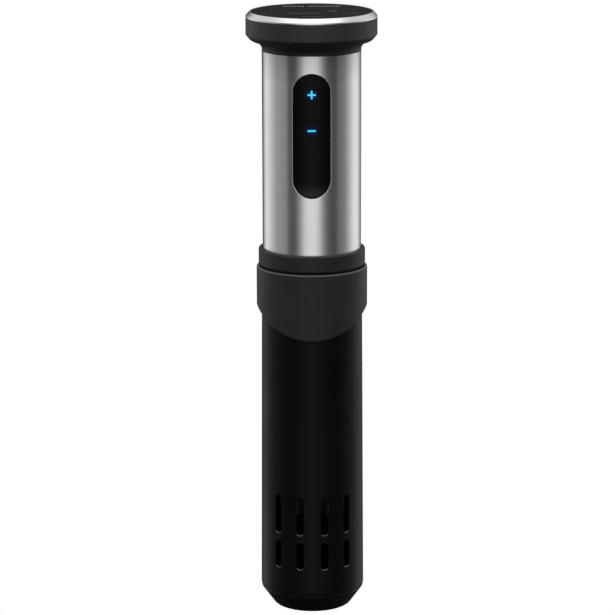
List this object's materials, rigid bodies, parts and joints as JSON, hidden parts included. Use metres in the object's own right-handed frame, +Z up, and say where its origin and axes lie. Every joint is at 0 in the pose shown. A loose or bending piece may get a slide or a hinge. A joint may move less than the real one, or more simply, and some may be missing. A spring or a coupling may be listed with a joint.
{
  "type": "sous vide circulator",
  "caption": "Slim stick immersion circulator: round display head, brushed grip tube with a lit touch panel, swivelling sprung pot clamp and a slotted skirt over the heater and pump.",
  "frame": {"origin": "centre of the flat foot under the end cap", "axes": "+Z up along the stick towards the display, -Y towards the touch panel, the clamp is on the +Y side"},
  "size_m": [0.071, 0.0868, 0.333],
  "materials": {
    "head_soft_touch": "soft touch",
    "ring_silver": "satin",
    "display_gloss": "gloss",
    "grip_steel": "brushed round the tube, clear",
    "touch_gloss": "gloss",
    "icon_blue": "lit from behind",
    "collar_soft_touch": "soft touch",
    "skirt_satin": "satin",
    "cap_satin": "satin",
    "clamp_plastic": "fine moulded texture",
    "pad_rubber": "matt",
    "seal_rubber": "matt",
    "bright_steel": "bright",
    "core_plastic": "moulded",
    "light_plastic": "moulded",
    "circuit_board": "solder mask",
    "brass": "turned",
    "coil_tape": "tape",
    "motor_core": "laminated",
    "sink_aluminium": "satin"
  },
  "bodies": {
    "root": {"head_shell": "head_soft_touch", "display_ring": "ring_silver", "display_lens": "display_gloss", "display_board": "circuit_board", "led_display": "core_plastic", "buzzer": "core_plastic", "steel_tube": "grip_steel", "touch_panel": "touch_gloss", "touch_board": "circuit_board", "plus_light_guide": "icon_blue", "minus_light_guide": "icon_blue", "cord_gland": "pad_rubber", "upper_collar": "collar_soft_touch", "bulkhead": "core_plastic", "body_seal": "seal_rubber", "sleeve_retainer": "bright_steel", "shaft_bearing": "bright_steel", "shaft_seal": "seal_rubber", "standoff_1": "brass", "standoff_2": "brass", "standoff_3": "brass", "motor_mount": "core_plastic", "motor_case": "bright_steel", "motor_end_cap": "light_plastic", "motor_screw_1": "bright_steel", "motor_screw_2": "bright_steel", "main_board": "circuit_board", "relay": "light_plastic", "capacitor": "core_plastic", "transformer": "coil_tape", "heat_sink": "sink_aluminium", "board_screw_1": "bright_steel", "board_screw_2": "bright_steel", "heater_coil": "bright_steel", "temperature_probe": "bright_steel", "level_rod_long": "bright_steel", "level_rod_short": "bright_steel", "tie_rod_1": "bright_steel", "tie_rod_2": "bright_steel", "tie_rod_3": "bright_steel", "pump_plate": "core_plastic", "lower_bushing": "brass", "shaft_tube": "bright_steel"},
    "rotor": {"motor_rotor": "motor_core", "shaft_coupling": "light_plastic", "drive_shaft": "bright_steel", "impeller": "core_plastic", "impeller_nut": "brass"},
    "skirt": {"skirt": "skirt_satin"},
    "end_cap": {"end_cap": "cap_satin"},
    "clamp_sleeve": {"clamp_sleeve": "collar_soft_touch", "clamp_bracket": "clamp_plastic", "fixed_pad": "pad_rubber", "hinge_pin": "bright_steel", "return_spring": "bright_steel", "bracket_screw_1": "bright_steel", "bracket_screw_2": "bright_steel"},
    "clamp_lever": {"clamp_lever": "clamp_plastic", "lever_pad": "pad_rubber"}
  },
  "joints": [
    {"name": "shaft_spin", "type": "hinge", "parent": "root", "child": "rotor", "pos_m": [0, 0, 0.21135], "axis": [0, 0, 1], "continuous": true},
    {"name": "skirt_pull", "type": "slide", "parent": "root", "child": "skirt", "axis": [0, 0, -1], "range_m": [0, 0.15]},
    {"name": "cap_pull", "type": "slide", "parent": "skirt", "child": "end_cap", "axis": [0, 0, -1], "range_m": [0, 0.012]},
    {"name": "sleeve_swivel", "type": "hinge", "parent": "root", "child": "clamp_sleeve", "pos_m": [0, 0, 0.1907], "axis": [0, 0, 1], "continuous": true},
    {"name": "lever_squeeze", "type": "hinge", "parent": "clamp_sleeve", "child": "clamp_lever", "pos_m": [0, 0.04405, 0.18], "axis": [1, 0, 0], "range_deg": [0, 22], "stiffness_Nm_per_rad": 0.4, "springref_deg": -28.65, "deforming": ["return_spring"]}
  ]
}
